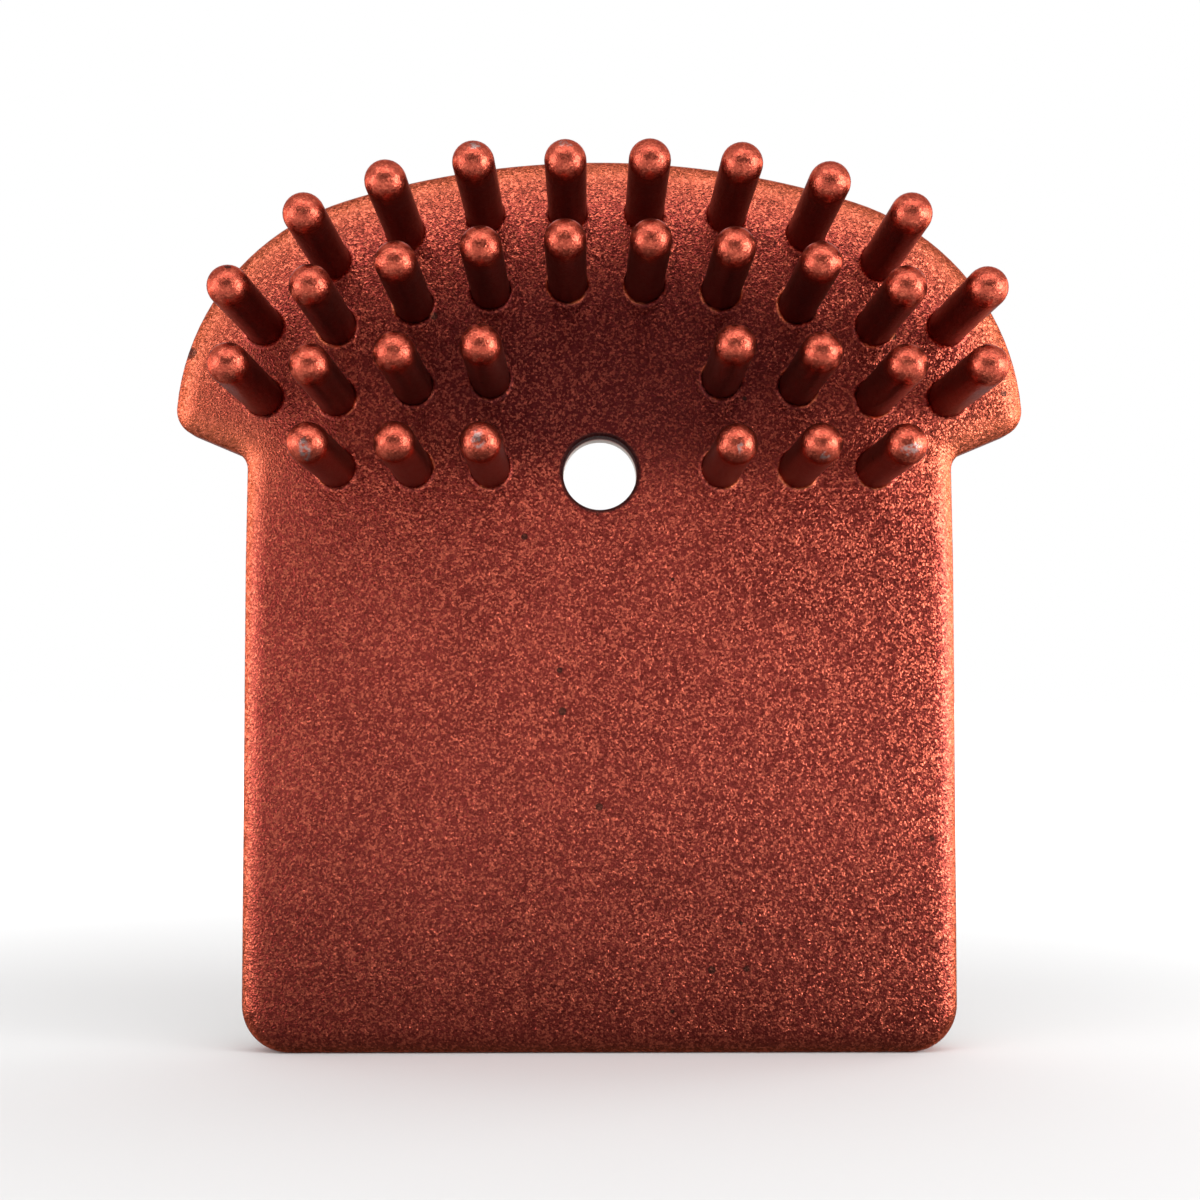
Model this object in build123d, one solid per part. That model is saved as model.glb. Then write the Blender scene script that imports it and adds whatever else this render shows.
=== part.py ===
from build123d import *
import math
import os

# Disc brake pad for a bicycle: an upright backing plate with cooling pins on one face
# and a moulded friction block on the other. All sizes are in mm.
# X runs across the plate, Z is up, and Y runs from the pins to the friction block.
# The origin is on the axis of the retaining pin's hole, halfway through the plate.

# Backing plate
BODY_WIDTH = 24.0
LOBE_OVERHANG = 2.46
HOLE_TO_TOP = 10.8
HOLE_TO_BOTTOM = 19.45
PLATE_THICKNESS = 2.0
SHOULDER_RADIUS = 8.22
TOP_RADIUS = 28.8
NECK_HEIGHT = 0.59
LOBE_RAKE = 22.8
LOBE_CORNER_RADIUS = 0.9
NECK_FILLET = 0.6
BOTTOM_CORNER_RADIUS = 1.6
PIN_SIDE_BEVEL = 0.3
BLOCK_SIDE_BEVEL = 0.2

# Hole for the retaining pin
HOLE_DIAMETER = 2.5
HOLE_BEVEL = 0.12

# Cooling pins, forged in one piece with the plate
PIN_DIAMETER = 1.3
PIN_HEIGHT = 7.2
PIN_TIP_BEVEL = 0.27
PIN_SPACING = 2.6
PIN_FIELD_SHIFT = 0.2
SECOND_ROW_DROP = 4.35
FOURTH_ROW_HEIGHT = 0.15
HOLE_COLUMNS_LEFT_OUT = 1
END_PIN_INSET = 2.9
# Top row, from the middle outwards: distance from the centre line, distance in from the edge
RIM_PINS = ((1.3, 1.9), (4.1, 1.7), (6.8, 1.75), (9.3, 1.85))

# Friction block
BLOCK_WIDTH = 21.2
BLOCK_HEIGHT = 10.25
BLOCK_THICKNESS = 2.0
BLOCK_BOTTOM_MARGIN = 1.3
BLOCK_SHIFT = 0.12
BLOCK_ARCH_RADIUS = 125.0
BLOCK_CORNER_RADIUS = 2.4
BLOCK_BEVEL = 0.12

HALF_BODY = BODY_WIDTH / 2
HALF_LOBES = HALF_BODY + LOBE_OVERHANG
SHOULDER_X = HALF_LOBES - SHOULDER_RADIUS
TOP_CENTRE_Z = HOLE_TO_TOP - TOP_RADIUS
# The shoulder arc touches the top arc from inside, which fixes how high its centre lies
SHOULDER_Z = TOP_CENTRE_Z + math.sqrt((TOP_RADIUS - SHOULDER_RADIUS) ** 2 - SHOULDER_X**2)
TANGENT_ANGLE = math.degrees(math.asin(SHOULDER_X / (TOP_RADIUS - SHOULDER_RADIUS)))
BLOCK_FACE_Y = PLATE_THICKNESS / 2


def lobe_tip():
    """Where the raked underside of a lobe, drawn from the neck, meets the shoulder arc."""
    rise = math.tan(math.radians(LOBE_RAKE))
    along_x = HALF_BODY - SHOULDER_X
    along_z = NECK_HEIGHT - SHOULDER_Z
    a = 1 + rise**2
    b = along_x + rise * along_z
    c = along_x**2 + along_z**2 - SHOULDER_RADIUS**2
    reach = (-b + math.sqrt(b**2 - a * c)) / a
    return HALF_BODY + reach, NECK_HEIGHT + reach * rise


def vertices_at(sketch, height):
    return sketch.vertices().filter_by(lambda v: math.isclose(v.Y, height, abs_tol=1e-4))


def plate_outline():
    """The lobed outline, with local X across and local Y up."""
    tip_x, tip_z = lobe_tip()
    tip_angle = math.degrees(math.atan2(tip_z - SHOULDER_Z, tip_x - SHOULDER_X))
    with BuildSketch() as outline:
        with BuildLine():
            CenterArc((0, TOP_CENTRE_Z), TOP_RADIUS, 90 - TANGENT_ANGLE, 2 * TANGENT_ANGLE)
            sweep = 90 - TANGENT_ANGLE - tip_angle
            shoulder = CenterArc((SHOULDER_X, SHOULDER_Z), SHOULDER_RADIUS, tip_angle, sweep)
            side = Polyline(
                (tip_x, tip_z), (HALF_BODY, NECK_HEIGHT), (HALF_BODY, -HOLE_TO_BOTTOM)
            )
            mirror([shoulder, side], about=Plane.YZ)
            Line((HALF_BODY, -HOLE_TO_BOTTOM), (-HALF_BODY, -HOLE_TO_BOTTOM))
        make_face()
        fillet(vertices_at(outline, -HOLE_TO_BOTTOM), BOTTOM_CORNER_RADIUS)
        fillet(vertices_at(outline, NECK_HEIGHT), NECK_FILLET)
        fillet(vertices_at(outline, tip_z), LOBE_CORNER_RADIUS)
    return outline.sketch


def edge_height(x, inset=0.0):
    """Height of the plate's upper edge at x, or of a line drawn that far inside it."""
    top_radius = TOP_RADIUS - inset
    shoulder_radius = SHOULDER_RADIUS - inset
    if x < top_radius * math.sin(math.radians(TANGENT_ANGLE)):
        return TOP_CENTRE_Z + math.sqrt(top_radius**2 - x**2)
    return SHOULDER_Z + math.sqrt(shoulder_radius**2 - (x - SHOULDER_X) ** 2)


def pin_places():
    """Half of the pin field, as distances from its centre line and heights above the hole."""
    end_x = HALF_LOBES - END_PIN_INSET
    # The columns stop at least half a spacing short of the two end pins
    last_x = end_x - PIN_SPACING / 2
    columns = []
    while PIN_SPACING * (len(columns) + 0.5) < last_x:
        columns.append(PIN_SPACING * (len(columns) + 0.5))
    places = [(x, edge_height(x, inset)) for x, inset in RIM_PINS if x < last_x]
    second_row = [(x, edge_height(x) - SECOND_ROW_DROP) for x in columns]
    outer_columns = second_row[HOLE_COLUMNS_LEFT_OUT:]
    third_row = [(x, (z + FOURTH_ROW_HEIGHT) / 2) for x, z in outer_columns]
    fourth_row = [(x, FOURTH_ROW_HEIGHT) for x, z in outer_columns]
    places += second_row + third_row + fourth_row
    places += [(end_x, second_row[-1][1]), (end_x, third_row[-1][1])]
    return places


def cooling_pin():
    """One pin about local Z, from its root inside the plate to its bevelled tip."""
    root = PLATE_THICKNESS / 4
    pin = Cylinder(PIN_DIAMETER / 2, PIN_HEIGHT + root)
    pin = chamfer(pin.edges().sort_by(Axis.Z)[-1], PIN_TIP_BEVEL)
    return Pos(0, 0, (PIN_HEIGHT - root) / 2) * pin


def backing_plate():
    plate = extrude(plate_outline(), PLATE_THICKNESS / 2, both=True)
    plate = chamfer(plate.faces().sort_by(Axis.Z)[-1].edges(), PIN_SIDE_BEVEL)
    plate = chamfer(plate.faces().sort_by(Axis.Z)[0].edges(), BLOCK_SIDE_BEVEL)
    plate -= Cylinder(HOLE_DIAMETER / 2, 2 * PLATE_THICKNESS)
    plate = chamfer(plate.edges().filter_by(is_hole_rim), HOLE_BEVEL)
    pin = Pos(0, 0, PLATE_THICKNESS / 2) * cooling_pin()
    centres = [(side * x + PIN_FIELD_SHIFT, z) for x, z in pin_places() for side in (-1, 1)]
    plate += [Pos(x, z, 0) * pin for x, z in centres]
    return Plane.XZ * plate


def is_hole_rim(edge):
    return edge.geom_type == GeomType.CIRCLE and math.isclose(edge.radius, HOLE_DIAMETER / 2)


def friction_block():
    """A moulded block with gently arched long sides that follow the rotor's sweep."""
    half = BLOCK_WIDTH / 2
    arch = BLOCK_ARCH_RADIUS - math.sqrt(BLOCK_ARCH_RADIUS**2 - half**2)
    bottom = -HOLE_TO_BOTTOM + BLOCK_BOTTOM_MARGIN
    top = bottom + BLOCK_HEIGHT
    with BuildSketch() as outline:
        with BuildLine():
            lower = ThreePointArc((-half, bottom - arch), (0, bottom), (half, bottom - arch))
            upper = ThreePointArc((-half, top - arch), (0, top), (half, top - arch))
            Line(lower @ 0, upper @ 0)
            Line(lower @ 1, upper @ 1)
        make_face()
        fillet(outline.vertices(), BLOCK_CORNER_RADIUS)
    block = extrude(outline.sketch, -BLOCK_THICKNESS)
    block = chamfer(block.faces().sort_by(Axis.Z)[0].edges(), BLOCK_BEVEL)
    return Pos(BLOCK_SHIFT, BLOCK_FACE_Y, 0) * (Plane.XZ * block)


os.makedirs("parts", exist_ok=True)
export_step(backing_plate(), "parts/backing_plate.step")
export_step(friction_block(), "parts/friction_block.step")
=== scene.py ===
import math
import random

import bmesh
import bpy
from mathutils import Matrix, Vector, geometry, kdtree, noise

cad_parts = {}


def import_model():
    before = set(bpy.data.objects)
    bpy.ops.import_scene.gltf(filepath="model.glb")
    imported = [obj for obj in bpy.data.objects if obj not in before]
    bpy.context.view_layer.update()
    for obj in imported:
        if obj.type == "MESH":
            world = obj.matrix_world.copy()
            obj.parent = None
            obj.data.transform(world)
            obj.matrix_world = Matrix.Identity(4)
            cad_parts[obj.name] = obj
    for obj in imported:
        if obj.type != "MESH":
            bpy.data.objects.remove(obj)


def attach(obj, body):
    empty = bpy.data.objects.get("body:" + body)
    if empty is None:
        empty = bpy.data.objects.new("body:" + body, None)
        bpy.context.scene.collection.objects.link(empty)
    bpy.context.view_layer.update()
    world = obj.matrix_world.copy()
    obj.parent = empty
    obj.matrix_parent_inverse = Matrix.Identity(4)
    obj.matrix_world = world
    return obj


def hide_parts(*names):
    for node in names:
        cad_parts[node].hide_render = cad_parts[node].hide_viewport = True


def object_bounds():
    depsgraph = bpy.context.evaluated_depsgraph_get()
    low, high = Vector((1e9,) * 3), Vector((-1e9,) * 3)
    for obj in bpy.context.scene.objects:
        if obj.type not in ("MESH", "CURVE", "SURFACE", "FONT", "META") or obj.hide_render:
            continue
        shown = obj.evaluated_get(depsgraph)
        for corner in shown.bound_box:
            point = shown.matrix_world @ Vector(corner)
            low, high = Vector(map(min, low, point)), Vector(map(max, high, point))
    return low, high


MM = 0.001
# Distance between the rows of a staggered lattice, as a share of the distance along them
ROW_PITCH = 0.87

# Driving sizes of the pad in mm, as in the part's source. X is across, Z is up, and Y runs
# from the cooling pins to the friction block, with the hole's centre at the origin.
BODY_WIDTH = 24.0
LOBE_OVERHANG = 2.46
HOLE_TO_TOP = 10.8
HOLE_TO_BOTTOM = 19.45
PLATE_THICKNESS = 2.0
SHOULDER_RADIUS = 8.22
TOP_RADIUS = 28.8
NECK_HEIGHT = 0.59
LOBE_RAKE = math.radians(22.8)
LOBE_CORNER_RADIUS = 0.9
NECK_FILLET = 0.6
BOTTOM_CORNER_RADIUS = 1.6
HOLE_RADIUS = 1.25

PIN_RADIUS = 0.65
PIN_HEIGHT = 7.2
PIN_SPACING = 2.6
PIN_FIELD_SHIFT = 0.2
SECOND_ROW_DROP = 4.35
FOURTH_ROW_HEIGHT = 0.15
END_PIN_INSET = 2.9
RIM_PINS = ((1.3, 1.9), (4.1, 1.7), (6.8, 1.75), (9.3, 1.85))

BLOCK_WIDTH = 21.2
BLOCK_HEIGHT = 10.25
BLOCK_THICKNESS = 2.0
BLOCK_BOTTOM_MARGIN = 1.3
BLOCK_SHIFT = 0.12
BLOCK_ARCH_RADIUS = 125.0
BLOCK_CORNER_RADIUS = 2.4

# Roundings that the source leaves plainer. The plate's are widths on the face and depths.
PIN_SIDE_ROUND = (0.75, 0.42)
BLOCK_SIDE_ROUND = (0.3, 0.26)
HOLE_ROUND = 0.14
PIN_ROOT_FILLET = 0.16

HALF_BODY = BODY_WIDTH / 2
SHOULDER_X = HALF_BODY + LOBE_OVERHANG - SHOULDER_RADIUS
TOP_CENTRE_Z = HOLE_TO_TOP - TOP_RADIUS
SHOULDER_Z = TOP_CENTRE_Z + math.sqrt((TOP_RADIUS - SHOULDER_RADIUS) ** 2 - SHOULDER_X**2)
TANGENT_ANGLE = math.acos(SHOULDER_X / (TOP_RADIUS - SHOULDER_RADIUS))
PIN_FACE = -PLATE_THICKNESS / 2
BLOCK_FACE = PLATE_THICKNESS / 2


# Outlines: lists of (x, z, outward normal x, outward normal z), clockwise on the pin side


def arc(cx, cz, radius, start, end, step, hollow=False):
    """Points of an arc. A hollow arc has the material outside its circle."""
    count = max(2, math.ceil(abs(end - start) * radius / step))
    side = -1 if hollow else 1
    points = []
    for i in range(count + 1):
        a = start + (end - start) * i / count
        c, s = math.cos(a), math.sin(a)
        points.append((cx + radius * c, cz + radius * s, side * c, side * s))
    return points


def straight(a, b, step):
    """Points between the ends of two arcs, without the ends themselves."""
    (ax, az, nx, nz), (bx, bz, _, _) = a, b
    count = max(1, math.ceil(math.hypot(bx - ax, bz - az) / step))
    fractions = [i / count for i in range(1, count)]
    return [(ax + (bx - ax) * t, az + (bz - az) * t, nx, nz) for t in fractions]


def plate_outline(step):
    """The lobed outline, from the middle of the top down the right side and up the left."""
    c, s = math.cos(LOBE_RAKE), math.sin(LOBE_RAKE)
    # Lobe corner: inside the shoulder arc and above the raked underside by its own radius
    reach = SHOULDER_RADIUS - LOBE_CORNER_RADIUS
    px = HALF_BODY - s * LOBE_CORNER_RADIUS - SHOULDER_X
    pz = NECK_HEIGHT + c * LOBE_CORNER_RADIUS - SHOULDER_Z
    along = -(px * c + pz * s)
    along += math.sqrt(along**2 - px**2 - pz**2 + reach**2)
    corner_x, corner_z = px + along * c, pz + along * s
    corner_start = math.atan2(corner_z, corner_x)
    under = LOBE_RAKE - math.pi / 2
    neck_z = NECK_HEIGHT + NECK_FILLET * (math.tan(LOBE_RAKE) - 1 / c)
    bottom_z = -HOLE_TO_BOTTOM + BOTTOM_CORNER_RADIUS
    top = arc(0, TOP_CENTRE_Z, TOP_RADIUS, math.pi / 2, TANGENT_ANGLE, step)
    shoulder = arc(SHOULDER_X, SHOULDER_Z, SHOULDER_RADIUS, TANGENT_ANGLE, corner_start, step)
    lobe_x, lobe_z = corner_x + SHOULDER_X, corner_z + SHOULDER_Z
    lobe = arc(lobe_x, lobe_z, LOBE_CORNER_RADIUS, corner_start, under, step / 4)
    neck_x, neck_start = HALF_BODY + NECK_FILLET, under + math.pi
    neck = arc(neck_x, neck_z, NECK_FILLET, neck_start, math.pi, step / 4, hollow=True)
    bottom_x = HALF_BODY - BOTTOM_CORNER_RADIUS
    corner = arc(bottom_x, bottom_z, BOTTOM_CORNER_RADIUS, 0, -math.pi / 2, step / 3)
    right = top + shoulder[1:] + lobe[1:] + straight(lobe[-1], neck[0], step) + neck
    right += straight(neck[-1], corner[0], step) + corner
    middle = (0, -HOLE_TO_BOTTOM, 0, -1)
    right += straight(corner[-1], middle, step) + [middle]
    left = [(-x, z, -nx, nz) for x, z, nx, nz in right[1:-1]]
    return right + left[::-1]


def edge_height(x, inset=0.0):
    """Height of the plate's upper edge at x, or of a line drawn that far inside it."""
    top_radius = TOP_RADIUS - inset
    if x < top_radius * math.cos(TANGENT_ANGLE):
        return TOP_CENTRE_Z + math.sqrt(top_radius**2 - x**2)
    return SHOULDER_Z + math.sqrt((SHOULDER_RADIUS - inset) ** 2 - (x - SHOULDER_X) ** 2)


def pin_places():
    """Centres of the 32 cooling pins."""
    end_x = HALF_BODY + LOBE_OVERHANG - END_PIN_INSET
    columns = [PIN_SPACING * (i + 0.5) for i in range(4)]
    second_row = [(x, edge_height(x) - SECOND_ROW_DROP) for x in columns]
    third_row = [(x, (z + FOURTH_ROW_HEIGHT) / 2) for x, z in second_row[1:]]
    fourth_row = [(x, FOURTH_ROW_HEIGHT) for x, z in second_row[1:]]
    half = [(x, edge_height(x, inset)) for x, inset in RIM_PINS]
    half += second_row + third_row + fourth_row
    half += [(end_x, second_row[-1][1]), (end_x, third_row[-1][1])]
    return [(side * x + PIN_FIELD_SHIFT, z) for x, z in half for side in (-1, 1)]


# Mesh building


def ring(mesh, points):
    """Vertices at places given in mm."""
    return [mesh.verts.new(Vector(p) * MM) for p in points]


def join_rings(mesh, rings, flip=False):
    """Bands of quads from each closed ring to the next. All have as many vertices."""
    n = len(rings[0])
    for a, b in zip(rings, rings[1:]):
        for i in range(n):
            j = (i + 1) % n
            quad = (a[i], a[j], b[j], b[i])
            mesh.faces.new(quad[::-1] if flip else quad)


def circle(cx, cz, radius, count):
    angles = [2 * math.pi * i / count for i in range(count)]
    return [(cx + radius * math.cos(a), cz + radius * math.sin(a)) for a in angles]


def flat_places(verts):
    """Where vertices lie across the pad's faces, in mm."""
    return [(v.co.x / MM, v.co.z / MM) for v in verts]


def loop_edges(base, count):
    """Index pairs round a closed loop of points that starts at base."""
    return [(base + i, base + (i + 1) % count) for i in range(count)]


def triangles(coords, edges):
    """Triangles between the points that keep the edges: their corners and their middles."""
    _, _, faces, origin, _, _ = geometry.delaunay_2d_cdt(coords, edges, [], 0, 1e-7)
    source = [o[0] for o in origin]
    for face in faces:
        corner = [source[i] for i in face]
        x = sum(coords[i].x for i in corner) / 3
        z = sum(coords[i].y for i in corner) / 3
        yield corner, x, z


def fill_face(mesh, y, outer, holes, grid, flip):
    """Fills a flat face between an outer ring of vertices and rings round its holes."""
    verts, edges = [], []
    for loop in [outer] + holes:
        edges += loop_edges(len(verts), len(loop))
        verts += loop
    flat = flat_places(verts)
    outline = flat_places(outer)
    discs = []
    for hole in holes:
        centre = sum((v.co for v in hole), Vector()) / len(hole)
        discs.append((centre.x / MM, centre.z / MM, (hole[0].co - centre).length / MM))
    inner = inner_points(outline, discs, grid)
    verts += ring(mesh, [(x, y, z) for x, z in inner])
    for corner, x, z in triangles([Vector(p) for p in flat + inner], edges):
        in_hole = any(math.hypot(x - cx, z - cz) < radius for cx, cz, radius in discs)
        if in_hole or not inside(x, z, outline):
            continue
        made = mesh.faces.new([verts[i] for i in corner])
        made.normal_update()
        if (made.normal.y > 0) != flip:
            made.normal_flip()


def inside(x, z, outline):
    """Whether a point lies inside an outline."""
    hit = False
    for i, (ax, az) in enumerate(outline):
        bx, bz = outline[i - 1]
        if (az > z) != (bz > z) and x < (bx - ax) * (z - az) / (bz - az) + ax:
            hit = not hit
    return hit


def lattice(outline, step, start):
    """Staggered rows of points over an outline's box, the first one that far above its foot."""
    xs, zs = zip(*outline)
    z, row = min(zs) + start, 0
    while z < max(zs):
        x = min(xs) + step * (0.5 if row % 2 else 1.0)
        while x < max(xs):
            yield x, z
            x += step
        z += step * ROW_PITCH
        row += 1


def inner_points(outline, discs, grid):
    """The lattice's points that keep clear of the face's edges."""
    clear = grid * 0.7
    points = []
    for x, z in lattice(outline, grid, grid / 2):
        near_hole = any(math.hypot(x - cx, z - cz) < r + clear for cx, cz, r in discs)
        near_edge = any(math.hypot(x - ox, z - oz) < clear for ox, oz in outline)
        if not near_hole and not near_edge and inside(x, z, outline):
            points.append((x, z))
    return points


def add_object(name, data):
    made = bpy.data.objects.new(name, data)
    bpy.context.scene.collection.objects.link(made)
    return made


def make_piece(name, mesh, material):
    """A smooth-shaded object from a finished mesh."""
    bmesh.ops.recalc_face_normals(mesh, faces=mesh.faces)
    data = bpy.data.meshes.new(name)
    mesh.to_mesh(data)
    mesh.free()
    for polygon in data.polygons:
        polygon.use_smooth = True
    data.materials.append(material)
    return add_object(name, data)


# Backing plate with its pins

# Spacing of the points round the outline, and of those that fill the flat faces
OUTLINE_STEP = 0.5
FACE_GRID = 0.9
# Width of the narrow band of flat face that is kept beside each rounding
SUPPORT = 0.04
ROUND_STEPS = 7
HOLE_ROUND_STEPS = 4
HOLE_SIDES = 64
# How far the outline stays inside the solid's
OUTLINE_SLACK = 0.006
# How far the pin side falls away at its edge, and over what width: along the body, on the lobes
BODY_ROLL = (0.14, 2.2)
LOBE_ROLL = (0.42, 3.6)
# Heights between which the one passes over into the other
ROLL_BLEND = (-3.0, 1.0)
PIN_SIDES = 32
PIN_FILLET_STEPS = 4
PIN_TIP_STEPS = 9
# Most that a pin's tip leans, and most that it falls short, as no two are quite alike
PIN_LEAN = 0.03
PIN_SHORTFALL = 0.05
PIN_SEED = 7


def rounding(width, depth, steps):
    """(inset, depth) pairs of a quarter round, from the flat face to the side wall."""
    angles = [math.pi / 2 * i / steps for i in range(steps + 1)]
    return [(width * (1 - math.sin(a)), depth * (1 - math.cos(a))) for a in angles]


def plate_edge(mesh):
    """The rounded edge all round the plate. Returns the rings that bound its two flat faces."""
    outline = plate_outline(OUTLINE_STEP)
    profile = [(PIN_SIDE_ROUND[0] + SUPPORT, PIN_FACE)]
    profile += [(d, PIN_FACE + y) for d, y in rounding(*PIN_SIDE_ROUND, ROUND_STEPS)]
    back = [(d, BLOCK_FACE - y) for d, y in rounding(*BLOCK_SIDE_ROUND, ROUND_STEPS)]
    profile += back[::-1] + [(BLOCK_SIDE_ROUND[0] + SUPPORT, BLOCK_FACE)]
    rings = []
    for inset, y in profile:
        inset += OUTLINE_SLACK
        points = [(x - nx * inset, y, z - nz * inset) for x, z, nx, nz in outline]
        rings.append(ring(mesh, points))
    join_rings(mesh, rings)
    return rings[0], rings[-1]


def plate_hole(mesh):
    """The retaining pin's hole, with both rims rounded over."""
    rim = rounding(HOLE_ROUND, HOLE_ROUND, HOLE_ROUND_STEPS)
    profile = [(-HOLE_ROUND - SUPPORT, PIN_FACE)]
    profile += [(-d, PIN_FACE + y) for d, y in rim]
    profile += [(-d, BLOCK_FACE - y) for d, y in rim[::-1]]
    profile += [(-HOLE_ROUND - SUPPORT, BLOCK_FACE)]
    rings = []
    for inset, y in profile:
        points = circle(0, 0, HOLE_RADIUS - inset, HOLE_SIDES)
        rings.append(ring(mesh, [(x, y, z) for x, z in points]))
    join_rings(mesh, rings, flip=True)
    return rings[0], rings[-1]


def cooling_pin(mesh, x, z, chance):
    """One pin: root fillet, straight shank and round tip. Returns the ring at its foot."""
    lean_x, lean_z = (chance.uniform(-PIN_LEAN, PIN_LEAN) for _ in range(2))
    height = PIN_HEIGHT - chance.uniform(0.0, PIN_SHORTFALL)
    shank = height - PIN_RADIUS
    profile = [(PIN_RADIUS + PIN_ROOT_FILLET + SUPPORT, 0.0)]
    for i in range(PIN_FILLET_STEPS + 1):
        a = math.pi / 2 * i / PIN_FILLET_STEPS
        spread = PIN_ROOT_FILLET * (1 - math.sin(a))
        profile.append((PIN_RADIUS + spread, PIN_ROOT_FILLET * (1 - math.cos(a))))
    profile += [(PIN_RADIUS, shank * t) for t in (0.25, 0.5, 0.75, 1.0)]
    for i in range(1, PIN_TIP_STEPS):
        a = math.pi / 2 * i / PIN_TIP_STEPS
        profile.append((PIN_RADIUS * math.cos(a), shank + PIN_RADIUS * math.sin(a)))
    rings = []
    for radius, h in profile:
        t = h / PIN_HEIGHT
        points = circle(x + lean_x * t, z + lean_z * t, radius, PIN_SIDES)
        rings.append(ring(mesh, [(px, PIN_FACE - h, pz) for px, pz in points]))
    join_rings(mesh, rings)
    tip = mesh.verts.new(Vector((x + lean_x, PIN_FACE - height, z + lean_z)) * MM)
    last = rings[-1]
    for i in range(PIN_SIDES):
        mesh.faces.new((last[i], last[(i + 1) % PIN_SIDES], tip))
    return rings[0]


def roll_edges(mesh):
    """Lets the pin side fall away a little towards its edges, as blanking leaves it."""
    outline = plate_outline(OUTLINE_STEP / 2)
    tree = kdtree.KDTree(len(outline))
    for i, (x, z, _, _) in enumerate(outline):
        tree.insert((x, 0, z), i)
    tree.balance()
    # Only the face and the pins' feet move: the shanks, the side wall and the block side stay
    feet = PIN_FACE - PIN_ROOT_FILLET - SUPPORT
    low, high = ROLL_BLEND
    for v in mesh.verts:
        x, y, z = v.co / MM
        if feet < y < 0.2 * PIN_FACE:
            on_lobes = min(1.0, max(0.0, (z - low) / (high - low)))
            depth, width = (a + (b - a) * on_lobes for a, b in zip(BODY_ROLL, LOBE_ROLL))
            share = max(0.0, 1 - tree.find((x, 0, z))[2] / width)
            v.co.y += depth * share**2 * MM


def backing_plate(material):
    mesh = bmesh.new()
    front, back = plate_edge(mesh)
    hole_front, hole_back = plate_hole(mesh)
    chance = random.Random(PIN_SEED)
    feet = [cooling_pin(mesh, x, z, chance) for x, z in pin_places()]
    fill_face(mesh, PIN_FACE, front, feet + [hole_front], FACE_GRID, flip=False)
    fill_face(mesh, BLOCK_FACE, back, [hole_back], FACE_GRID, flip=True)
    roll_edges(mesh)
    return make_piece("backing_plate_forged", mesh, material)


# Friction block

# Spacing of the points on the block's edge and face
BLOCK_STEP = 0.085
BACK_GRID = 1.2
# Depth below the friction face of the thin flash along the block's foot
FLASH_TOP = 1.82
# How far down the edge the pressed face's relief reaches
RELIEF_REACH = 0.1
# Points closer than this to the block's edge are checked against its full outline
NEAR_EDGE = 0.45
# Rings from the face down to the plate: inset, depth below the face, share of the raggedness
BLOCK_PROFILE = (
    (0.30, 0.0, 0.2),
    (0.20, 0.0, 0.5),
    (0.12, 0.012, 0.8),
    (0.05, 0.05, 1.0),
    (0.0, 0.13, 1.0),
    (0.0, 0.3, 1.0),
    (-0.02, 0.55, 1.0),
    (-0.03, 0.8, 1.0),
    (-0.04, 1.1, 1.0),
    (-0.05, 1.4, 1.0),
    (-0.05, 1.7, 1.0),
    (-0.05, FLASH_TOP + 0.05, 1.0),
    (-0.05, 1.97, 1.0),
)
# Rings from beyond the crack over the flash to its foot: share of its width, depth
FLASH_PROFILE = (
    (0, 1.97),
    (0.15, FLASH_TOP + 0.03),
    (0.4, FLASH_TOP),
    (0.8, FLASH_TOP + 0.02),
    (1, FLASH_TOP + 0.06),
    (1.1, BLOCK_THICKNESS),
)


def block_outline(step):
    """The block's arched outline, with its ragged moulded edge left out."""
    half = BLOCK_WIDTH / 2
    r = BLOCK_CORNER_RADIUS
    bottom = -HOLE_TO_BOTTOM + BLOCK_BOTTOM_MARGIN
    upper_z = bottom + BLOCK_HEIGHT - BLOCK_ARCH_RADIUS
    lower_z = bottom - BLOCK_ARCH_RADIUS
    cx = half - r
    upper_cz = upper_z + math.sqrt((BLOCK_ARCH_RADIUS - r) ** 2 - cx**2)
    lower_cz = lower_z + math.sqrt((BLOCK_ARCH_RADIUS + r) ** 2 - cx**2)
    upper_angle = math.atan2(upper_cz - upper_z, cx)
    lower_angle = math.atan2(lower_cz - lower_z, cx)
    top = arc(0, upper_z, BLOCK_ARCH_RADIUS, math.pi / 2, upper_angle, step)
    high = arc(cx, upper_cz, r, upper_angle, 0, step)
    low = arc(cx, lower_cz, r, 0, lower_angle - math.pi, step)
    base = arc(0, lower_z, BLOCK_ARCH_RADIUS, lower_angle, math.pi / 2, step, hollow=True)
    right = top + high[1:] + straight(high[-1], low[0], step) + low + base[1:]
    left = [(-x, z, -nx, nz) for x, z, nx, nz in right[1:-1]]
    return [(x + BLOCK_SHIFT, z, nx, nz) for x, z, nx, nz in right + left[::-1]]


def grain(x, y, z, scale, seed=0.0):
    """Smooth noise about 0, of roughly so many bumps to the millimetre."""
    return noise.noise(Vector((x * scale + seed, y * scale, z * scale - seed)))


def block_surface(x, z):
    """How far the pressed face lies below its highest level, in mm."""
    coarse = 0.5 + 0.5 * grain(x, 0, z, 0.9, 3.1)
    fine = max(0.0, grain(x, 0, z, 3.4, 8.7))
    pits = max(0.0, grain(x, 0, z, 1.7, 21.0) - 0.35)
    return 0.012 * coarse + 0.035 * fine + 0.16 * pits


def edge_roughness(x, z, depth):
    """How far the ragged moulded edge stands out, in mm."""
    rough = 0.07 * grain(x, depth * 0.4, z, 0.7, 5.0) + 0.05 * grain(x, depth, z, 2.3)
    rough += 0.05 * grain(x, depth * 2, z, 5.0, 9.0)
    return rough + 0.03 * grain(x, depth * 2, z, 9.0, 3.0)


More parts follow.
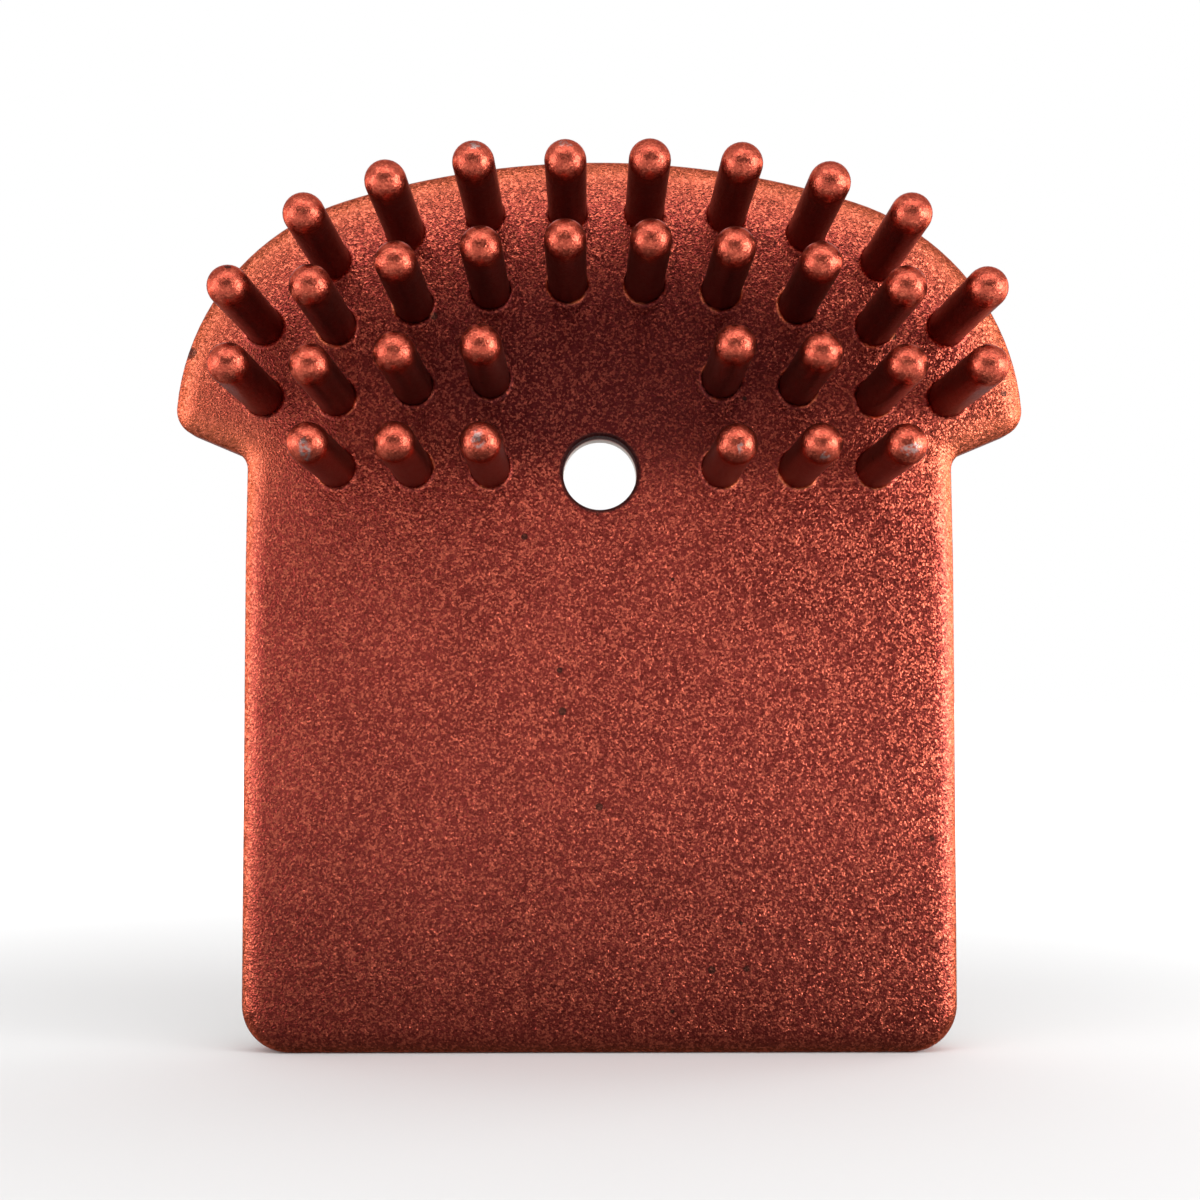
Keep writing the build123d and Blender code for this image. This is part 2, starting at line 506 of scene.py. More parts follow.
def crack_and_flash(x, z, nz):
    """Width of the crack along the block's foot and of the flash outside it, widest on top."""
    along_top = max(0.0, (nz - 0.5) * 2)
    gap = 0.03 + 0.07 * math.exp(-(((x - 2.0) / 5.0) ** 2)) + 0.05 * grain(x, 0, z, 1.3, 2.0)
    flash = 0.09 + 0.10 * grain(x, 0, z, 0.8, 4.0) + 0.08 * grain(x, 0, z, 3.5, 6.0)
    flash += 0.05 * grain(x, 0, z, 8.0, 7.0)
    rest = 0.03 + 0.05 * grain(x, 0, z, 2.5, 9.0) + 0.04 * grain(x, 0, z, 7.0, 1.0)
    flash = along_top * flash + (1 - along_top) * rest
    return max(0.004, gap * along_top), max(0.01, flash)


def friction_block(material):
    mesh = bmesh.new()
    outline = block_outline(BLOCK_STEP)
    top = BLOCK_FACE + BLOCK_THICKNESS
    rings = []
    for inset, depth, ragged in BLOCK_PROFILE:
        points = []
        for x, z, nx, nz in outline:
            d = inset - ragged * edge_roughness(x, z, depth)
            px, pz = x - nx * d, z - nz * d
            relief = block_surface(px, pz) if depth < RELIEF_REACH else 0.0
            points.append((px, top - depth - relief, pz))
        rings.append(ring(mesh, points))
    inset, depth, _ = BLOCK_PROFILE[-1]
    for share, low in FLASH_PROFILE:
        points = []
        for x, z, nx, nz in outline:
            gap, flash = crack_and_flash(x, z, nz)
            d = edge_roughness(x, z, depth) - inset + gap + share * flash
            points.append((x + nx * d, top - low, z + nz * d))
        rings.append(ring(mesh, points))
    join_rings(mesh, rings)
    fill_block_face(mesh, rings[0], top)
    fill_face(mesh, BLOCK_FACE, rings[-1], [], BACK_GRID, flip=False)
    return make_piece("friction_block_pressed", mesh, material)


def fill_block_face(mesh, outer, top):
    """The pressed face: a fine lattice of points with the grain's relief."""
    outline = flat_places(outer)
    coarse = outline[:: max(1, len(outline) // 160)]
    clear = BLOCK_STEP * 0.6
    coords = [Vector(p) for p in outline]
    for x, z in lattice(outline, BLOCK_STEP, BLOCK_STEP):
        if nearest(x, z, coarse) < NEAR_EDGE**2:
            if nearest(x, z, outline) < clear**2 or not inside(x, z, outline):
                continue
        if inside(x, z, coarse):
            coords.append(Vector((x, z)))
    verts = list(outer)
    for p in coords[len(outline):]:
        y = top - block_surface(p.x, p.y)
        verts.append(mesh.verts.new(Vector((p.x, y, p.y)) * MM))
    for corner, x, z in triangles(coords, loop_edges(0, len(outline))):
        on_edge = all(i < len(outline) for i in corner)
        if not on_edge or inside(x, z, outline):
            mesh.faces.new([verts[i] for i in corner])


def nearest(x, z, outline):
    """Squared distance to an outline's nearest point."""
    return min((x - ox) ** 2 + (z - oz) ** 2 for ox, oz in outline)


# Materials


class Nodes:
    """Short calls for making one material's node tree."""

    def __init__(self, name):
        self.material = bpy.data.materials.new(name)
        self.material.use_nodes = True
        self.tree = self.material.node_tree
        self.shader = self.tree.nodes["Principled BSDF"]
        self.output = self.tree.nodes["Material Output"]

    def link(self, a, b):
        self.tree.links.new(a, b)

    def fill(self, node, inputs):
        """Links each input to a socket, or sets it where its value is the same everywhere."""
        for key, value in inputs.items():
            if isinstance(value, bpy.types.NodeSocket):
                self.link(value, node.inputs[key])
            else:
                node.inputs[key].default_value = value

    def new(self, kind, inputs=None, **settings):
        node = self.tree.nodes.new(kind)
        for key, value in settings.items():
            setattr(node, key, value)
        self.fill(node, inputs or {})
        return node

    def vector(self, operation, *values):
        inputs = dict(enumerate(values))
        return self.new("ShaderNodeVectorMath", inputs, operation=operation).outputs[0]

    def scaled(self, vector, factor):
        inputs = {0: vector, "Scale": factor}
        return self.new("ShaderNodeVectorMath", inputs, operation="SCALE").outputs[0]

    def length(self, vector):
        node = self.new("ShaderNodeVectorMath", {0: vector}, operation="LENGTH")
        return node.outputs["Value"]

    def place(self):
        """Object coordinates, in metres."""
        return self.new("ShaderNodeTexCoord").outputs["Object"]

    def noise(self, vector, scale, detail=2.0, rough=0.5, distortion=0.0):
        inputs = {"Vector": vector, "Scale": scale, "Detail": detail, "Roughness": rough}
        inputs["Distortion"] = distortion
        return self.new("ShaderNodeTexNoise", inputs).outputs["Fac"]

    def cells(self, vector, scale):
        """Distance to the nearest cell's middle, in cell sizes, and that cell's random colour."""
        node = self.new("ShaderNodeTexVoronoi", {"Vector": vector, "Scale": scale})
        return node.outputs["Distance"], node.outputs["Color"]

    def edges(self, vector, scale):
        """Distance to the nearest edge between cells, in cell sizes."""
        inputs = {"Vector": vector, "Scale": scale}
        node = self.new("ShaderNodeTexVoronoi", inputs, feature="DISTANCE_TO_EDGE")
        return node.outputs["Distance"]

    def math(self, operation, a, b, c=0.0):
        return self.new("ShaderNodeMath", {0: a, 1: b, 2: c}, operation=operation).outputs[0]

    def product(self, first, *others):
        for other in others:
            first = self.math("MULTIPLY", first, other)
        return first

    def largest(self, first, *others):
        for other in others:
            first = self.math("MAXIMUM", first, other)
        return first

    def span(self, value, low, high, out_low=0.0, out_high=1.0, smooth=True):
        """A value's way from low to high, carried over to another range and held at its ends."""
        inputs = {"Value": value, "From Min": low, "From Max": high}
        inputs.update({"To Min": out_low, "To Max": out_high})
        node = self.new("ShaderNodeMapRange", inputs)
        node.interpolation_type = "SMOOTHSTEP" if smooth else "LINEAR"
        return node.outputs[0]

    def split(self, vector):
        kind = "ShaderNodeSeparateColor" if vector.type == "RGBA" else "ShaderNodeSeparateXYZ"
        return self.new(kind, {0: vector}).outputs[:3]

    def turn(self, vector, angle):
        """Turned about Y, which is across the pad's faces."""
        inputs = {"Vector": vector, "Rotation": (0, angle, 0)}
        return self.new("ShaderNodeMapping", inputs).outputs[0]

    def ragged(self, vector, scale, amount):
        """The same place, moved a little at random, which makes soft outlines ragged."""
        inputs = {"Vector": vector, "Scale": scale, "Detail": 3.0}
        shift = self.new("ShaderNodeTexNoise", inputs).outputs["Color"]
        shift = self.vector("SUBTRACT", shift, (0.5,) * 3)
        return self.vector("MULTIPLY_ADD", shift, (amount,) * 3, vector)

    def around(self, vector, place, size, inner=0.5):
        """1 in the middle of an ellipsoid, falling to 0 at its surface."""
        away = self.vector("DIVIDE", self.vector("SUBTRACT", vector, place), size)
        return self.span(self.length(away), 1.0, inner)

    def mix(self, factor, a, b):
        inputs = {0: factor, 6: a, 7: b}
        return self.new("ShaderNodeMix", inputs, data_type="RGBA").outputs[2]

    def paint(self, base, mask, share, rgb):
        """The base with a share of a colour over it where the mask is 1."""
        return self.mix(self.math("MULTIPLY", mask, share), base, colour(rgb))


def colour(rgb):
    """A colour as read from a screen, 0 to 255, made linear."""
    values = []
    for v in rgb:
        v /= 255
        values.append(v / 12.92 if v <= 0.04045 else ((v + 0.055) / 1.055) ** 2.4)
    return (*values, 1.0)


# Colours of the metal, from 0 to 255. A pair is the two ends that the skin's patches lie between.
# The two sides carry one skin, painted darker on the pin side as painted shade and lighter on the
# block side as painted light. Their sparkles are painted glints.
PIN_SIDE_SHADED_SKIN = ((133, 49, 42), (146, 56, 48))
BLOCK_SIDE_LIT_SKIN = ((152, 59, 50), (164, 65, 56))
EDGE_SKIN_AND_HIGHLIGHT = (168, 84, 54)
LIT_PIN_SKIN = (161, 68, 51)
ROOT_HIGHLIGHT = (232, 128, 84)
SHADED_FACET = (72, 15, 12)
PIN_SIDE_SPARKLE = (238, 120, 91)
BLOCK_SIDE_SPARKLE = (228, 112, 84)
SHADE_AND_PATCH_COLOUR = (72, 20, 22)
PALE_GREY_SHANK = (146, 86, 80)
STREAKS = (150, 112, 104)
RESIN = (126, 92, 68)
SPECK = (48, 34, 28)
WORN_TIP = (150, 132, 128)
SHADED_RIM = (50, 22, 22)
ORANGE_RIM = (214, 120, 88)
BARE_WALL = (222, 216, 210)
CHIPPED_RIM = (190, 160, 150)

# The blasted skin: craters and facets to the millimetre, depth of the relief in mm, and how far
# the facets tilt
CRATERS = 15.0
FACETS = 14.0
RELIEF = 0.013
FACET_TILT = 0.29

# Marks on the metal, as centres and half sizes in mm
TIP = PIN_FACE - PIN_HEIGHT + 0.1
WORN_TIPS = [
    ((-8.9, TIP, -0.1), (0.2, 0.7, 0.36)),
    ((-3.7, TIP, 0.22), (0.22, 0.7, 0.32)),
    ((4.2, TIP, -0.1), (0.14, 0.7, 0.26)),
    ((6.7, TIP, -0.3), (0.17, 0.7, 0.2)),
    ((9.35, TIP, -0.1), (0.36, 0.7, 0.24)),
]
WORN_TIPS += [
    ((PIN_FIELD_SHIFT - x, TIP, edge_height(x, inset) + 0.35), (0.22, 0.7, 0.16))
    for x, inset in RIM_PINS[:2]
]
# Dark specks on the pin side, as centres and radii
SPECKS = (
    ((4.7, PIN_FACE, -15.1), 0.08),
    ((4.9, PIN_FACE, -16.6), 0.14),
    ((10.2, PIN_FACE, -15.0), 0.08),
    ((2.4, PIN_FACE, -18.0), 0.1),
    ((11.1, PIN_FACE, -12.3), 0.12),
    ((-5.6, PIN_FACE, 5.3), 0.16),
)
# A nick in the left lobe and a chip on the block side
NICKS = (
    ((-13.9, 0, 4.1), (0.2, 3, 0.26)),
    ((-4.7, BLOCK_FACE, 6.3), (0.35, 1, 0.25)),
)
# Dark patches, as centres, half sizes and how dark each is, from 0 to 1
DARK_PATCHES = (
    ((0.1, BLOCK_FACE, -1.7), (2.0, 1, 1.2), 0.9),
    ((0.1, BLOCK_FACE, 4.0), (1.0, 1, 5.0), 0.22),
    ((0.0, BLOCK_FACE, -4.6), (1.6, 1, 3.4), 0.16),
    ((-0.1, BLOCK_FACE, -7.3), (1.5, 1, 1.5), 0.9),
    ((0.1, PIN_FACE, 1.7), (1.7, 1, 1.0), 0.8),
)


def anodised_aluminium():
    """Bead-blasted aluminium with a red anodised skin, smoother on the cooling pins."""
    n = Nodes("anodised_aluminium")
    p = n.scaled(n.place(), 1 / MM)
    x, y, z = n.split(p)
    ragged = n.ragged(p, 2.5, 0.5)
    on_pins = n.span(y, PIN_FACE - 0.15, PIN_FACE - 0.5)
    pin_side = n.span(y, 0.3, -0.3)
    block_side = n.math("SUBTRACT", 1.0, pin_side)
    flat_place = n.new("ShaderNodeCombineXYZ", {0: x, 1: 0.0, 2: z}).outputs[0]
    from_hole = n.length(flat_place)

    # Overlapping craters of the blasting beads, and a finer roughness over them
    crater, _ = n.cells(p, CRATERS)
    grain = n.noise(p, 22.0, 1.0, 0.5, 0.2)
    height = n.math("MULTIPLY_ADD", grain, 0.9, n.product(crater, crater))

    patches = n.span(n.noise(p, 0.28, 3.0, 0.6), 0.3, 0.7)
    front, back = (
        n.mix(patches, colour(low), colour(high)) for low, high in (PIN_SIDE_SHADED_SKIN, BLOCK_SIDE_LIT_SKIN)
    )
    # One skin, painted darker on the pin side as painted shade and lighter on the block side as
    # painted light
    base = n.mix(pin_side, back, front)
    # The skin is painted lighter and more orange along the rounded edge of the pin side: partly
    # thinner skin there, and partly painted highlight
    edge = n.product(n.span(y, PIN_FACE + 0.04, PIN_FACE + 0.42), pin_side)
    edge = n.product(edge, n.span(from_hole, 2.0, 3.0))
    base = n.paint(base, edge, 0.75, EDGE_SKIN_AND_HIGHLIGHT)
    # The pins are painted lighter than the plate, as painted light on the same skin
    base = n.mix(on_pins, base, colour(LIT_PIN_SKIN))

    # Painted shade between the groups of pins, and dark patches round the hole and on the block
    # side
    flat = n.math("SUBTRACT", pin_side, on_pins)
    shade = n.product(n.around(ragged, (0.2, PIN_FACE, 3.6), (12.0, 5, 5.2), 0.35), flat)
    torn = n.ragged(p, 1.1, 2.2)
    dark_patch = n.around(torn, (0.0, BLOCK_FACE, 1.5), (1.6, 1, 1.6), 0.3)
    for place, size, share in DARK_PATCHES:
        dark_patch = n.largest(dark_patch, n.product(n.around(torn, place, size, 0.0), share))
    shade_and_patches = n.largest(shade, dark_patch)
    base = n.paint(base, shade_and_patches, 0.82, SHADE_AND_PATCH_COLOUR)

    # Each facet of the blasted skin has a tilt of its own and a painted tone to match: dark in the
    # craters and on facets turned one way, as painted shade, and bright on those turned the other
    # way, as painted glints
    contrast = n.span(on_pins, 0.0, 1.0, 0.54, 0.3)
    _, facets = n.cells(p, FACETS)
    facet = n.math("MULTIPLY_ADD", n.split(facets)[0], 0.75, n.product(height, 0.36))
    base = n.paint(base, n.span(facet, 0.55, 0.18), contrast, SHADED_FACET)
    sparkle = n.mix(pin_side, colour(BLOCK_SIDE_SPARKLE), colour(PIN_SIDE_SPARKLE))
    contrast = n.product(contrast, n.span(shade_and_patches, 0.0, 1.0, 1.0, 0.4))
    base = n.mix(n.product(n.span(facet, 0.62, 1.0), contrast), base, sparkle)

    # Pin shanks painted paler and greyer between their feet and their tips
    tip_y = PIN_FACE - PIN_HEIGHT
    shank = n.product(on_pins, n.span(y, tip_y + 0.5, tip_y + 1.5))
    base = n.paint(base, shank, 0.66, PALE_GREY_SHANK)

    # Pale streaks in the dark patch over the block
    streaks = n.noise(n.vector("MULTIPLY", p, (1.2, 1, 0.4)), 5.0, 3.0, 0.7)
    near_block = n.around(p, (-0.2, 1, -7.0), (1.0, 1, 1.0))
    base = n.paint(base, n.product(n.span(streaks, 0.56, 0.68), near_block), 0.7, STREAKS)

    # Resin that crept out along the top of the friction block, thickest at one corner
    creep = n.product(n.span(z, -6.7, -7.75), n.span(z, -9.6, -8.6))
    creep = n.product(creep, n.span(n.noise(p, 1.6, 4.0, 0.65), 0.40, 0.66))
    creep = n.product(creep, n.span(x, -9.0, 4.0, 0.35, 1.0))
    corner = n.around(ragged, (9.9, BLOCK_FACE, -8.4), (1.7, 1, 1.5), 0.1)
    creep = n.largest(creep, n.product(corner, 0.85))
    creep = n.product(creep, n.span(y, BLOCK_FACE - 0.3, BLOCK_FACE - 0.05))
    base = n.paint(base, creep, 0.8, RESIN)

    # Dark specks in the skin: small random ones, the nicks, and those that the photo shows
    ragged_fine = n.ragged(p, 6.0, 0.12)
    away, kind = n.cells(p, 0.8)
    limit = n.span(n.split(kind)[0], 0.72, 1.0, 0.0, 0.11, smooth=False)
    speck = n.math("LESS_THAN", away, limit)
    speck = n.largest(speck, *(n.around(ragged, place, size) for place, size in NICKS))
    for place, radius in SPECKS:
        speck = n.largest(speck, n.around(ragged_fine, place, (radius, 1, radius)))
    base = n.paint(base, speck, 0.8, SPECK)

    # Skin worn to grey on some pin tips, and a painted highlight in broken arcs on the pins' root
    # fillets
    worn = n.largest(*(n.around(ragged, place, size) for place, size in WORN_TIPS))
    worn = n.product(worn, n.span(n.noise(p, 7.0, 2.0), 0.35, 0.6))
    base = n.paint(base, worn, 0.8, WORN_TIP)
    root = n.span(y, PIN_FACE - 0.005, PIN_FACE - 0.03)
    root = n.product(root, n.span(y, PIN_FACE - 0.24, PIN_FACE - 0.1))
    root = n.product(root, n.span(n.noise(p, 0.9, 2.0), 0.5, 0.62))
    base = n.paint(base, root, 0.5, ROOT_HIGHLIGHT)

    # The hole: a painted ring of shade in front, on its rim and wall, and behind it a lighter
    # orange ring on the rim and a bare wall
    rim = n.span(from_hole, HOLE_RADIUS + HOLE_ROUND + 0.03, HOLE_RADIUS + HOLE_ROUND - 0.06)
    shaded_rim = n.product(rim, pin_side)
    base = n.paint(base, shaded_rim, 0.85, SHADED_RIM)
    base = n.paint(base, n.product(rim, block_side), 0.6, ORANGE_RIM)
    wall = n.span(from_hole, HOLE_RADIUS + 0.04, HOLE_RADIUS + 0.01)
    wall = n.product(wall, n.span(y, -0.2, 0.3))
    base = n.mix(wall, base, colour(BARE_WALL))
    chips = n.around(ragged, (0.1, BLOCK_FACE, 1.35), (0.6, 0.4, 0.17))
    base = n.mix(n.product(chips, n.span(grain, 0.42, 0.58)), base, colour(CHIPPED_RIM))

    # Relief, softer on the pins and under the resin
    strength = n.span(on_pins, 0.0, 1.0, 1.0, 0.45)
    strength = n.product(strength, n.span(block_side, 0.0, 1.0, 1.0, 0.85))
    strength = n.product(strength, n.span(creep, 0.0, 1.0, 1.0, 0.4))
    tilt = n.vector("SUBTRACT", facets, (0.5,) * 3)
    tilt = n.scaled(tilt, n.product(strength, FACET_TILT))
    normal = n.new("ShaderNodeNewGeometry").outputs["Normal"]
    normal = n.vector("NORMALIZE", n.vector("ADD", normal, tilt))
    inputs = {"Height": height, "Strength": strength, "Distance": RELIEF * MM, "Normal": normal}
    bump = n.new("ShaderNodeBump", inputs)

    rough = n.span(on_pins, 0.0, 1.0, 0.3, 0.32)
    rough = n.math("MULTIPLY_ADD", dark_patch, 0.1, rough)
    rough = n.math("MULTIPLY_ADD", wall, 0.3, rough)
    rough = n.math("MULTIPLY_ADD", n.largest(creep, shaded_rim), 0.3, rough)
    gloss = {"Metallic": 1.0, "Specular Tint": (0.38, 0.34, 0.34, 1)}
    gloss.update({"Coat Weight": 0.12, "Coat Roughness": 0.35})
    n.fill(n.shader, {"Base Color": base, "Normal": bump.outputs[0], "Roughness": rough, **gloss})
    return n.material


# Colours of the friction compound, from 0 to 255. The ground runs from dark to pale.
GROUND = ((48, 43, 35), (97, 88, 68), (148, 136, 102))
MINERAL = (74, 79, 92)
RICH_RESIN = (132, 118, 80)
PALE_HAIR = (170, 158, 122)
DARK_HAIR = (50, 45, 38)
RUST = (104, 50, 36)
WHITE_GRAIN = (206, 202, 190)
DARK_GRAIN = (44, 44, 46)
TAN_SKIN = (136, 120, 84)
CRACK = (30, 25, 20)

# Short strands lie in three directions. They are long where their scale is small.
STRAND_ANGLES = (0.35, 1.4, 2.4)
STRAND_SCALES = (9.0, 9.0, 2.4)


def friction_compound():
    """Moulded compound: short strands and grains in resin, with flakes of iron and mineral."""
    n = Nodes("friction_compound")
    p = n.scaled(n.place(), 1 / MM)
    _, y, _ = n.split(p)
    fine = n.noise(p, 5.5, 4.0, 0.72, 0.4)
    turned = (n.vector("MULTIPLY", n.turn(p, angle), STRAND_SCALES) for angle in STRAND_ANGLES)
    strands = n.largest(*(n.noise(place, 1.0, 2.0, 0.6) for place in turned))
    tone = n.math("MULTIPLY_ADD", strands, 0.9, n.product(fine, 0.8))
    tone = n.math("ADD", tone, n.product(n.noise(p, 0.45, 2.0), 0.16))
    dark, middle, pale = (colour(rgb) for rgb in GROUND)
    base = n.mix(n.span(tone, 0.80, 1.02), dark, middle)
    base = n.mix(n.span(tone, 1.0, 1.20), base, pale)

    # Soft grey-blue mineral blobs
    blobs = n.math("MULTIPLY_ADD", fine, 0.35, n.noise(p, 1.9, 1.0, 0.4))
    base = n.mix(n.span(blobs, 0.78, 0.92, 0.0, 0.6), base, colour(MINERAL))

    # Yellowish resin-rich places
    rich = n.noise(n.vector("MULTIPLY", p, (1, 1, 1.1)), 0.9, 1.0, 0.4)
    rich = n.math("MULTIPLY_ADD", fine, 0.3, rich)
    base = n.mix(n.span(rich, 0.70, 0.88, 0.0, 0.35), base, colour(RICH_RESIN))

    # Loose fibres: pale hairs and a few dark lines
    hair = n.span(n.edges(n.ragged(p, 1.5, 0.9), 1.9), 0.06, 0.02)
    hair = n.product(hair, n.span(n.noise(p, 2.4, 1.0), 0.52, 0.62))
    base = n.paint(base, hair, 0.3, PALE_HAIR)
    hair = n.span(n.edges(n.ragged(p, 0.9, 0.7), 1.1), 0.06, 0.02)
    hair = n.product(hair, n.span(n.noise(p, 1.0, 1.0, 0.4), 0.56, 0.62))
    base = n.paint(base, hair, 0.6, DARK_HAIR)

    # Rust-red flakes: broken lengths of curved lines, and small grains
    line = n.span(n.edges(n.ragged(p, 0.8, 1.1), 0.75), 0.07, 0.02)
    line = n.product(line, n.span(n.noise(p, 1.3, 1.0, 0.3), 0.60, 0.66))
    away, kind = n.cells(n.ragged(p, 3.0, 0.4), 1.7)
    crumb = n.product(n.span(away, 0.26, 0.12), n.span(n.split(kind)[1], 0.85, 0.90))
    flake = n.product(n.largest(line, crumb), n.span(fine, 0.3, 0.6, 0.55, 0.9))
    base = n.mix(flake, base, colour(RUST))

    # White mineral specks and a few dark ones
    away, kind = n.cells(n.ragged(p, 6.0, 0.16), 2.6)
    spot = n.span(away, 0.28, 0.10)
    is_white, _, is_dark = n.split(kind)
    base = n.paint(base, spot, n.span(is_white, 0.90, 0.98, 0.0, 0.7), WHITE_GRAIN)
    base = n.paint(base, spot, n.span(is_dark, 0.86, 0.92, 0.0, 0.7), DARK_GRAIN)

    # Resin-rich tan skin round the edge and on the flash, with a dark crack under the edge
    depth = n.math("SUBTRACT", BLOCK_FACE + BLOCK_THICKNESS, y)
    skin = n.span(n.math("ADD", depth, n.product(strands, 0.3)), 0.2, 0.4)
    base = n.paint(base, skin, n.span(tone, 0.8, 1.15, 0.2, 0.6), TAN_SKIN)
    crack = n.span(depth, FLASH_TOP + 0.07, BLOCK_THICKNESS - 0.04)
    base = n.paint(base, crack, 0.9, CRACK)

    height = n.math("MULTIPLY_ADD", strands, 0.8, fine)
    bump = n.new("ShaderNodeBump", {"Height": height, "Strength": 1.0, "Distance": 0.03 * MM})
    rough = n.span(blobs, 0.6, 0.8, 0.86, 0.7)
    n.fill(n.shader, {"Base Color": base, "Normal": bump.outputs[0], "Roughness": rough})
    return n.material


# Studio. The middle's height and the camera's places are in mm, and all else is in metres and
# watts.

# Height of the pad's middle, on which the lamps and the camera are aimed
MIDDLE_Z = -4.3
CAMERA_PLACE = (-0.5, -67.0, -7.5)
CAMERA_TARGET = (0.0, PIN_FACE, MIDDLE_Z)
CAMERA_LENS = 59

# Name, side and power of the main lamp on each side. The others there take shares of it.
SIDES = (("left", -1, 0.094), ("right", 1, 0.225))
# Name, place on the right, size, share of the side's power
SIDE_LAMPS = (
    ("front", (0.14, -0.075, 0.0), (0.07, 0.12), 1.0),
    ("back", (0.14, 0.075, 0.0), (0.07, 0.12), 0.85),
    ("side", (0.15, 0, 0.0), (0.07, 0.12), 0.3),
    ("low", (0.09, -0.025, -0.006), (0.05, 0.022), 0.09),
)
# Name, place, size, power
TOP_LAMPS = (
    ("front_top", (0, -0.115, 0.14), (0.3, 0.09), 0.22),
    ("back_top", (0, 0.14, 0.12), (0.3, 0.1), 0.09),
)

# The world's strength on matt surfaces. Where it is seen itself, it is 1.
AMBIENT = 0.7
FLOOR_TONE = 0.62
FLOOR_REACH = 3.0
# Distances from the pad over which the floor turns from its own tone to white
FLOOR_FADE = (0.02, 0.14)

# Name, side, half widths and tones of the cards: upright, low and near, low and far. Then the
# upright card's height, and where the low cards start.
CARDS = (
    ("front", -1, (0.12, 0.022, 0.05), (0.11, 0.2, 0.85), 0.08, 0.62 * MM),
    ("back", 1, (0.19, 0.08, 0.08), (0.38, 0.36, 0.6), 0.07, 0.8 * MM),
)
# Where the near card meets the far one, where that one ends, and how far they lie off the floor
CARD_JOIN = 0.022
CARD_END = 0.16
CARD_LIFT = 0.00003


def seen_directly(tree):
    """1 for the rays that show the background: camera, glossy and transmission rays."""
    path = tree.nodes.new("ShaderNodeLightPath")
    value = path.outputs["Is Camera Ray"]
    for name in ("Is Glossy Ray", "Is Transmission Ray"):
        node = tree.nodes.new("ShaderNodeMath")
        node.operation = "MAXIMUM"
        tree.links.new(value, node.inputs[0])
        tree.links.new(path.outputs[name], node.inputs[1])
        value = node.outputs[0]
    return value


def matt(name, tone):
    """A material that is one matt grey all over."""
    n = Nodes(name)
    grey = (tone, tone, tone, 1)
    n.fill(n.shader, {"Base Color": grey, "Roughness": 1.0, "Specular IOR Level": 0.0})
    return n


def floor_and_backdrop(low_z):
    """A pale floor under the pad. It shows white, and keeps the pad's soft shadow."""
    n = matt("studio_floor", FLOOR_TONE)
    glow = n.span(n.length(n.place()), *FLOOR_FADE)
    lit = n.new("ShaderNodeEmission", {"Color": (1, 1, 1, 1), "Strength": glow})
    both = n.new("ShaderNodeAddShader", {0: n.shader.outputs[0], 1: lit.outputs[0]})
    inputs = {0: seen_directly(n.tree), 1: n.shader.outputs[0], 2: both.outputs[0]}
    n.fill(n.output, {"Surface": n.new("ShaderNodeMixShader", inputs).outputs[0]})
    mesh = bmesh.new()
    bmesh.ops.create_grid(mesh, x_segments=1, y_segments=1, size=FLOOR_REACH)
    data = bpy.data.meshes.new("studio_floor")
    mesh.to_mesh(data)
    mesh.free()
    data.materials.append(n.material)
    floor = add_object("studio_floor", data)
    floor.location.z = low_z


def aim(thing, place, target):
    """Places a lamp or the camera and turns it to its target."""
    thing.location = place
    direction = Vector(target) - Vector(place)
    thing.rotation_euler = direction.to_track_quat("-Z", "Y").to_euler()


def lamp(name, place, size, power):
    data = bpy.data.lights.new(name, "AREA")
    data.shape = "RECTANGLE"
    data.size, data.size_y = size
    data.energy = power
    aim(add_object(name, data), place, (0, 0, MIDDLE_Z * MM))


def lamps():
    """Soft lamps on both sides of the pad, before it and behind it, and two above."""
    for side_name, side, power in SIDES:
        for name, (x, y, z), size, share in SIDE_LAMPS:
            lamp(f"{name}_{side_name}", (side * x, y, z), size, power * share)
    for name, place, size, power in TOP_LAMPS:
        lamp(name, place, size, power)


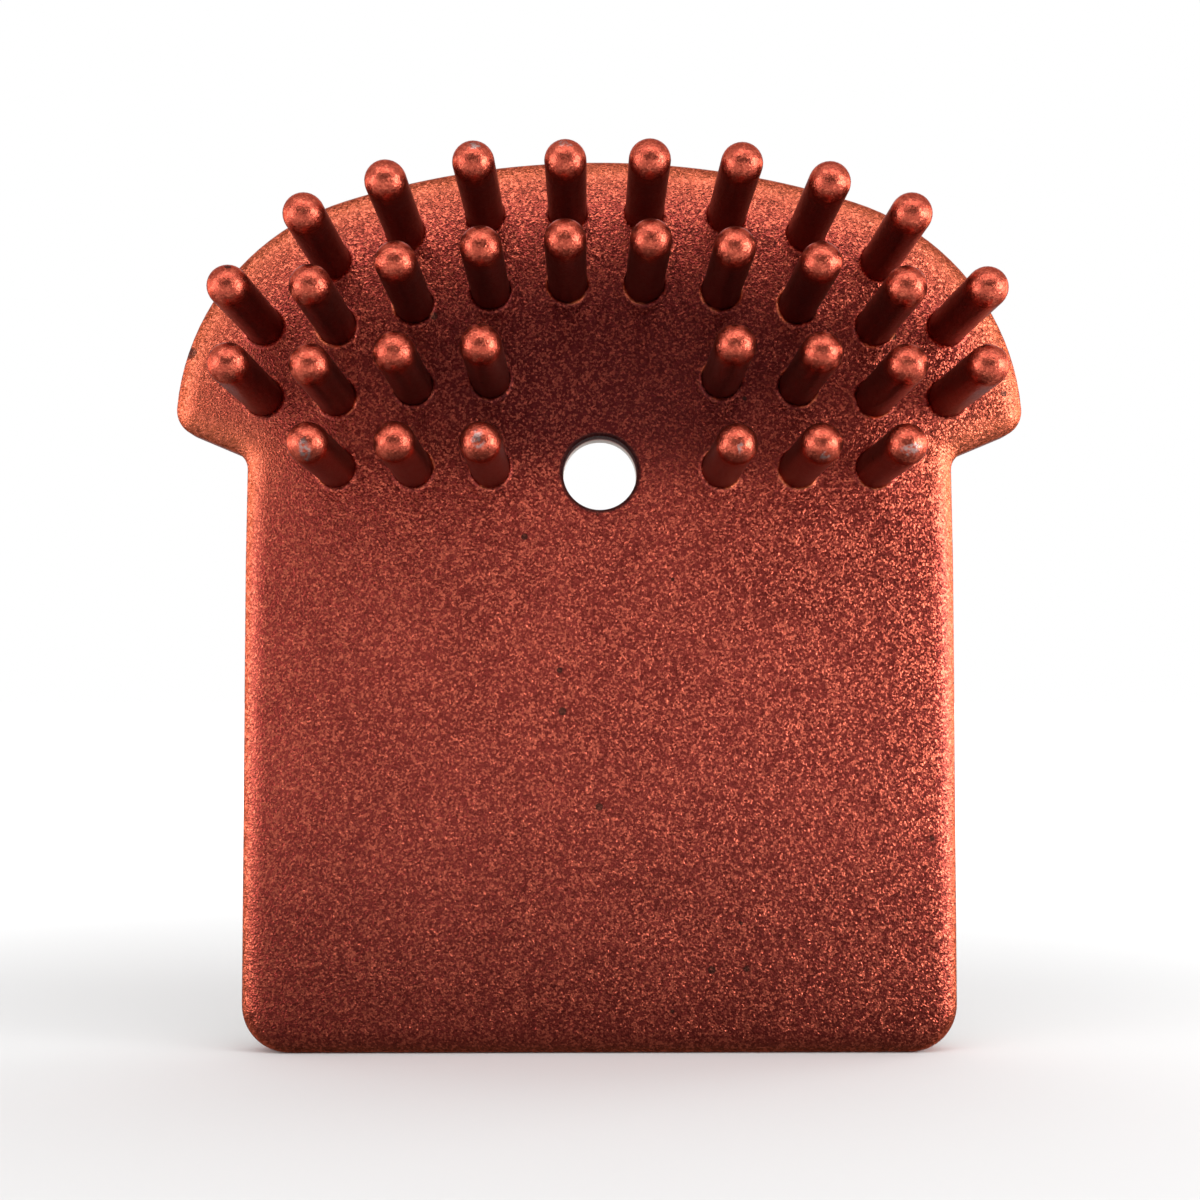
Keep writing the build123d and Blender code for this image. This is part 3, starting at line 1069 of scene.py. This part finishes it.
def dark_card(name, tone, corners):
    """A card that only the gloss of the metal sees."""
    data = bpy.data.meshes.new(name)
    data.from_pydata(corners, [], [(0, 1, 2, 3)])
    data.materials.append(matt(name, tone).material)
    card = add_object(name, data)
    card.visible_camera = False
    card.visible_shadow = False
    card.visible_diffuse = False


def dark_cards():
    """Dark cards before and behind the pad, and low beside it, for the metal to reflect."""
    low = -HOLE_TO_BOTTOM * MM + CARD_LIFT
    for name, side, halves, tones, high, start in CARDS:
        start, join, end = side * start, side * CARD_JOIN, side * CARD_END
        half = halves[0]
        upright = [(-half, end, low), (half, end, low), (half, end, high), (-half, end, high)]
        dark_card(f"card_{name}", tones[0], upright)
        spans = (("near", start, join), ("far", join, end))
        for (part, a, b), half, tone in zip(spans, halves[1:], tones[1:]):
            flat = [(-half, b, low), (half, b, low), (half, a, low), (-half, a, low)]
            dark_card(f"card_{name}_{part}", tone, flat)


def world():
    """White wherever it is seen, and a softer light on matt surfaces."""
    made = bpy.data.worlds.new("studio")
    made.use_nodes = True
    tree = made.node_tree
    background = tree.nodes["Background"]
    mix = tree.nodes.new("ShaderNodeMix")
    mix.data_type = "FLOAT"
    mix.inputs[2].default_value = AMBIENT
    mix.inputs[3].default_value = 1.0
    tree.links.new(seen_directly(tree), mix.inputs[0])
    tree.links.new(mix.outputs[0], background.inputs["Strength"])
    background.inputs["Color"].default_value = (1, 1, 1, 1)
    bpy.context.scene.world = made


def camera():
    """The left view of the photo: square on, from a little below the pad's middle."""
    data = bpy.data.cameras.new("camera")
    data.sensor_width = 36
    data.lens = CAMERA_LENS
    data.clip_start = 0.001
    data.clip_end = 20
    made = add_object("camera", data)
    aim(made, Vector(CAMERA_PLACE) * MM, Vector(CAMERA_TARGET) * MM)
    bpy.context.scene.camera = made


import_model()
cad_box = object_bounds()

plate = backing_plate(anodised_aluminium())
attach(plate, "root")
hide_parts("backing_plate")
block = friction_block(friction_compound())
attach(block, "root")
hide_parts("friction_block")

floor_and_backdrop(cad_box[0].z)
lamps()
dark_cards()
world()
camera()
bpy.context.scene.view_settings.view_transform = "Standard"
